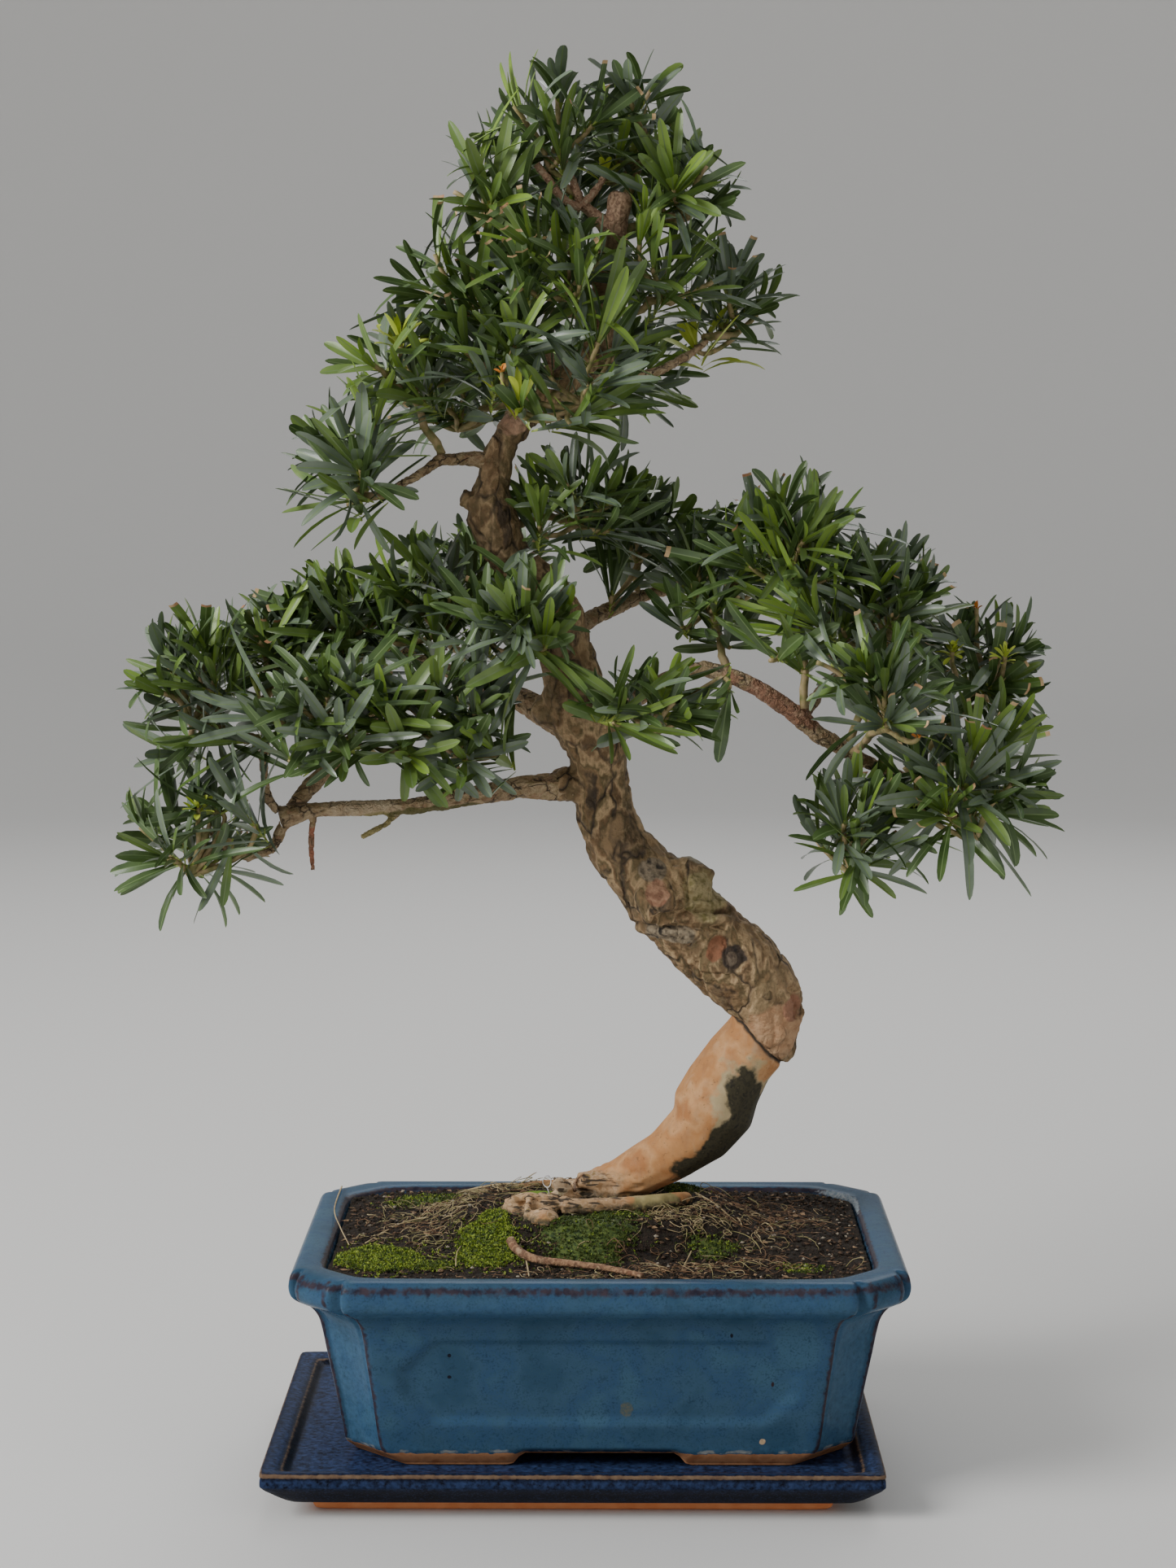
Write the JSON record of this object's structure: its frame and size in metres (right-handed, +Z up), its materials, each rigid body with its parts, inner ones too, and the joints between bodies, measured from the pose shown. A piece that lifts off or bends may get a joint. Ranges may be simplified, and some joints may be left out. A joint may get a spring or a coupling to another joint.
{
  "type": "podocarpus bonsai",
  "caption": "Leaning S-trunked podocarpus bonsai with strap leaves in masses, in a blue glazed rectangular pot on a drip tray.",
  "frame": {"origin": "on the tray's flat underside, in the middle of its width and 7.7 mm in front of the middle of its depth", "axes": "+Z up the tree, +X to the right of the show side, -Y towards the viewer of the show side"},
  "size_m": [0.3941, 0.2131, 0.6062],
  "materials": {
    "bark": "rough bark, smooth and orange-tan low down",
    "foliage": "waxy strap leaves",
    "moss": "matt moss",
    "pot_glaze": "glossy blue glaze over brown clay",
    "soil": "damp bonsai soil",
    "tray_glaze": "dark blue speckled glaze"
  },
  "bodies": {
    "root": {"bough_arm_left": "bark", "bough_arm_right": "bark", "bough_back_left": "bark", "bough_back_right": "bark", "bough_back_upper": "bark", "bough_left": "bark", "bough_left_back": "bark", "bough_left_drop": "bark", "bough_left_rise": "bark", "bough_left_upper": "bark", "bough_right": "bark", "bough_right_back": "bark", "fallen_twig": "bark", "mass_apex_left": "foliage", "mass_apex_left_low": "foliage", "mass_apex_right": "foliage", "mass_apex_right_low": "foliage", "mass_arm_left": "foliage", "mass_arm_right": "foliage", "mass_back_left": "foliage", "mass_back_left_inner": "foliage", "mass_back_right": "foliage", "mass_back_right_inner": "foliage", "mass_back_top": "foliage", "mass_back_upper_left": "foliage", "mass_back_upper_right": "foliage", "mass_front": "foliage", "mass_left_crown": "foliage", "mass_left_far": "foliage", "mass_left_low": "foliage", "mass_left_middle": "foliage", "mass_left_outer": "foliage", "mass_left_tip": "foliage", "mass_left_top": "foliage", "mass_left_trunk": "foliage", "mass_middle_right": "foliage", "mass_right_behind": "foliage", "mass_right_far": "foliage", "mass_right_inner": "foliage", "mass_right_low": "foliage", "mass_right_middle": "foliage", "mass_right_shoulder": "foliage", "mass_right_tip": "foliage", "mass_right_top": "foliage", "mass_shoulder_front": "foliage", "mass_shoulder_left": "foliage", "mass_shoulder_middle": "foliage", "mass_upper_front": "foliage", "mass_upper_left": "foliage", "mass_upper_right": "foliage", "moss_front": "moss", "moss_left": "moss", "pot": "pot_glaze", "soil": "soil", "tray": "tray_glaze", "trunk": "bark"}
  },
  "joints": []
}
